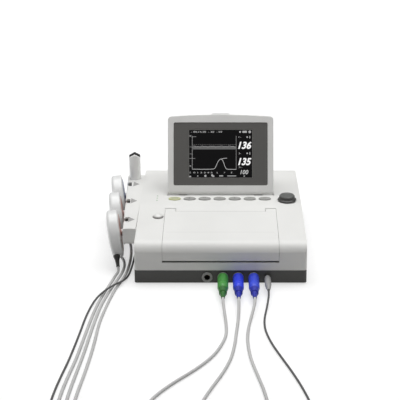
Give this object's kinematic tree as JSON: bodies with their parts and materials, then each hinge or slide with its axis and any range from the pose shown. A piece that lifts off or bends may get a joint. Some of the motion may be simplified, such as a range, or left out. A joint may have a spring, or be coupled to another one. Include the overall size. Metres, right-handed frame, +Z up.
{
  "type": "fetal monitor",
  "caption": "Desk-top fetal monitor: fold-down screen over a strip-chart drawer, keys, rotary knob, belt transducers and event marker in a side holder.",
  "frame": {"origin": "middle of the case's flat underside, at the recessed-foot plane 2 mm above the table", "axes": "+X to the viewer's right, +Y away from the viewer, +Z up"},
  "size_m": [0.3883, 0.87, 0.2239],
  "materials": {
    "case_dark": "fine moulded grain",
    "case_white": "fine moulded grain",
    "inner_frame": "plain moulding",
    "rubber_black": "matt",
    "steel_screws": "zinc plated",
    "battery_wrap": "shrink wrap",
    "circuit_board": "solder mask",
    "sheet_metal": "folded sheet",
    "black_plastic": "moulded",
    "plated_brass": "plated",
    "socket_grey": "moulded",
    "head_ceramic": "glazed ceramic",
    "motor_steel": "drawn can",
    "pinion_brass": "cut",
    "lens_clear": "diffusing",
    "holder_white": "fine moulded grain",
    "bezel_grey": "painted moulding",
    "faceplate_grey": "satin",
    "display_glass": "glossy panel",
    "chart_paper": "coated paper",
    "platen_rubber": "ground",
    "key_green": "moulded",
    "key_grey": "moulded",
    "button_white": "moulded",
    "knob_dark": "satin",
    "shaft_steel": "turned",
    "marker_white": "moulded",
    "marker_black": "moulded",
    "transducer_white": "moulded",
    "cover_rose": "moulded",
    "cover_blue": "moulded",
    "plug_green": "over-moulded",
    "plug_blue": "over-moulded",
    "jack_grey": "over-moulded",
    "cord_grey": "soft sheath",
    "cord_dark": "soft sheath"
  },
  "bodies": {
    "base": {"battery_cover": "case_dark", "battery_pack": "battery_wrap", "bottom_case": "case_dark", "case_screws": "steel_screws", "coil_front": "cord_grey", "coil_marker": "cord_dark", "coil_middle": "cord_grey", "coil_rear": "cord_grey", "cord_front": "cord_grey", "cord_marker": "cord_dark", "cord_middle": "cord_grey", "cord_rear": "cord_grey", "front_sockets": "socket_grey", "ground_terminal": "plated_brass", "hinge_brackets": "inner_frame", "indicator_lenses": "lens_clear", "key_board": "circuit_board", "knob_encoder": "black_plastic", "main_board": "circuit_board", "mains_inlet": "black_plastic", "plug_front": "plug_blue", "plug_marker": "jack_grey", "plug_middle": "plug_blue", "plug_rear": "plug_green", "power_supply": "sheet_metal", "print_head": "head_ceramic", "printer_bay": "inner_frame", "rubber_feet": "rubber_black", "speaker": "black_plastic", "stepper_motor": "motor_steel", "top_case": "case_white", "transducer_holder": "holder_white"},
    "screen": {"hinge_pins": "shaft_steel", "screen_frame": "bezel_grey", "screen_back": "case_white", "screen_faceplate": "faceplate_grey", "display_module": "display_glass"},
    "drawer": {"drawer_cover": "case_white", "drawer_tray": "inner_frame", "paper_pack": "chart_paper"},
    "platen": {"platen_roller": "platen_rubber"},
    "drive": {"motor_pinion": "pinion_brass"},
    "power_button": {"power_button": "button_white"},
    "knob_shaft": {"knob_shaft": "shaft_steel"},
    "knob": {"knob": "knob_dark"},
    "event_marker": {"event_marker": "marker_white"},
    "marker_button": {"marker_button": "marker_black"},
    "key_1": {"key_1": "key_green"},
    "key_2": {"key_2": "key_grey"},
    "key_3": {"key_3": "key_grey"},
    "key_4": {"key_4": "key_grey"},
    "key_5": {"key_5": "key_grey"},
    "key_6": {"key_6": "key_grey"},
    "key_7": {"key_7": "key_grey"},
    "transducer_front": {"transducer_front_shell": "transducer_white", "transducer_front_cover": "cover_rose"},
    "transducer_middle": {"transducer_middle_shell": "transducer_white", "transducer_middle_cover": "cover_rose"},
    "transducer_rear": {"transducer_rear_shell": "transducer_white", "transducer_rear_cover": "cover_blue"}
  },
  "joints": [
    {"name": "screen_hinge", "type": "hinge", "parent": "base", "child": "screen", "pos_m": [0, 0.03, 0.0907], "axis": [1, 0, 0], "range_deg": [-65, 0]},
    {"name": "drawer_slide", "type": "slide", "parent": "base", "child": "drawer", "axis": [0, -1, 0], "range_m": [0, 0.12]},
    {"name": "platen_spin", "type": "hinge", "parent": "drawer", "child": "platen", "pos_m": [0, -0.05, 0.0635], "axis": [1, 0, 0], "continuous": true},
    {"name": "motor_spin", "type": "hinge", "parent": "base", "child": "drive", "pos_m": [0, -0.0335, 0.0635], "axis": [1, 0, 0], "continuous": true},
    {"name": "key_1_press", "type": "slide", "parent": "base", "child": "key_1", "axis": [0, 0, -1], "range_m": [0, 0.0012], "stiffness_N_per_m": 900},
    {"name": "key_2_press", "type": "slide", "parent": "base", "child": "key_2", "axis": [0, 0, -1], "range_m": [0, 0.0012], "stiffness_N_per_m": 900},
    {"name": "key_3_press", "type": "slide", "parent": "base", "child": "key_3", "axis": [0, 0, -1], "range_m": [0, 0.0012], "stiffness_N_per_m": 900},
    {"name": "key_4_press", "type": "slide", "parent": "base", "child": "key_4", "axis": [0, 0, -1], "range_m": [0, 0.0012], "stiffness_N_per_m": 900},
    {"name": "key_5_press", "type": "slide", "parent": "base", "child": "key_5", "axis": [0, 0, -1], "range_m": [0, 0.0012], "stiffness_N_per_m": 900},
    {"name": "key_6_press", "type": "slide", "parent": "base", "child": "key_6", "axis": [0, 0, -1], "range_m": [0, 0.0012], "stiffness_N_per_m": 900},
    {"name": "key_7_press", "type": "slide", "parent": "base", "child": "key_7", "axis": [0, 0, -1], "range_m": [0, 0.0012], "stiffness_N_per_m": 900},
    {"name": "power_press", "type": "slide", "parent": "base", "child": "power_button", "axis": [0, 0, -1], "range_m": [0, 0.0015], "stiffness_N_per_m": 900},
    {"name": "knob_push", "type": "slide", "parent": "base", "child": "knob_shaft", "axis": [0, 0, -1], "range_m": [0, 0.0008], "stiffness_N_per_m": 1500},
    {"name": "knob_turn", "type": "hinge", "parent": "knob_shaft", "child": "knob", "pos_m": [0.1217, -0.0002, 0.09], "axis": [0, 0, -1], "continuous": true},
    {"name": "marker_lift", "type": "slide", "parent": "base", "child": "event_marker", "axis": [0, 0, 1], "range_m": [0, 0.06]},
    {"name": "marker_press", "type": "slide", "parent": "event_marker", "child": "marker_button", "axis": [0, 0, -1], "range_m": [0, 0.0008], "stiffness_N_per_m": 900},
    {"name": "transducer_front_lift", "type": "slide", "parent": "base", "child": "transducer_front", "axis": [0, 0, 1], "range_m": [0, 0.028]},
    {"name": "transducer_middle_lift", "type": "slide", "parent": "base", "child": "transducer_middle", "axis": [0, 0, 1], "range_m": [0, 0.028]},
    {"name": "transducer_rear_lift", "type": "slide", "parent": "base", "child": "transducer_rear", "axis": [0, 0, 1], "range_m": [0, 0.028]}
  ],
  "couplings": [
    {"joint": "platen_spin", "follows": "motor_spin", "ratio": -0.57143}
  ]
}
